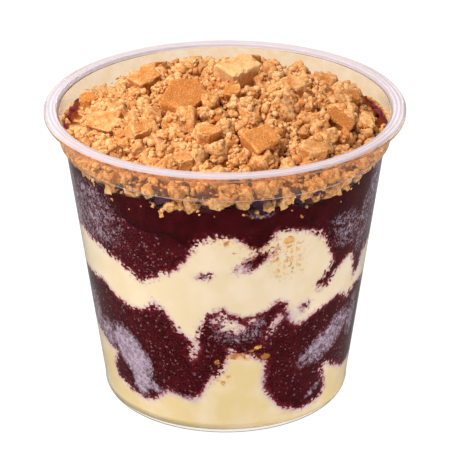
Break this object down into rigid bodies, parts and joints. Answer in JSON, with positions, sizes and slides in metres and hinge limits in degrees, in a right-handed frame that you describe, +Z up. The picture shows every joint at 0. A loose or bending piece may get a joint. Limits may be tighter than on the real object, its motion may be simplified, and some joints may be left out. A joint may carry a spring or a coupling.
{
  "type": "layered acai dessert cup",
  "caption": "Clear plastic dessert cup with a flanged rim, filled with wavy layers of cream and frozen acai under a heap of biscuit crumble.",
  "frame": {"origin": "centre of the cup's base, on the surface that it stands on", "axes": "+Z up through the mouth of the cup; -Y is the front that the picture shows, +X its right-hand side"},
  "size_m": [0.11, 0.11, 0.1063],
  "materials": {
    "clear_plastic": "injection-moulded clear polypropylene, slightly milky, glossy, with fine turned lines on the rim",
    "acai": "frozen acai, dark red-purple, granular, with pale frost and cream smears at the wall",
    "middle_cream": "smooth pale ivory cream",
    "bottom_cream": "smooth cream, a warmer yellow",
    "crumble": "dry biscuit crumble, matt and gritty",
    "biscuit": "broken biscuit, matt, fine-grained faces"
  },
  "bodies": {
    "root": {"cup": "clear_plastic", "cream_lower": "bottom_cream", "acai_lower": "acai", "cream_middle": "middle_cream", "acai_upper": "acai", "crumble": "crumble", "chunk_01": "biscuit", "chunk_02": "biscuit", "chunk_03": "biscuit", "chunk_04": "biscuit", "chunk_05": "biscuit", "chunk_06": "biscuit", "chunk_07": "biscuit", "chunk_08": "biscuit", "chunk_09": "biscuit", "chunk_10": "biscuit", "chunk_11": "biscuit", "chunk_12": "biscuit", "chunk_13": "biscuit", "chunk_14": "biscuit", "chunk_15": "biscuit", "chunk_16": "biscuit", "chunk_17": "biscuit", "chunk_18": "biscuit", "chunk_19": "biscuit"}
  },
  "joints": []
}
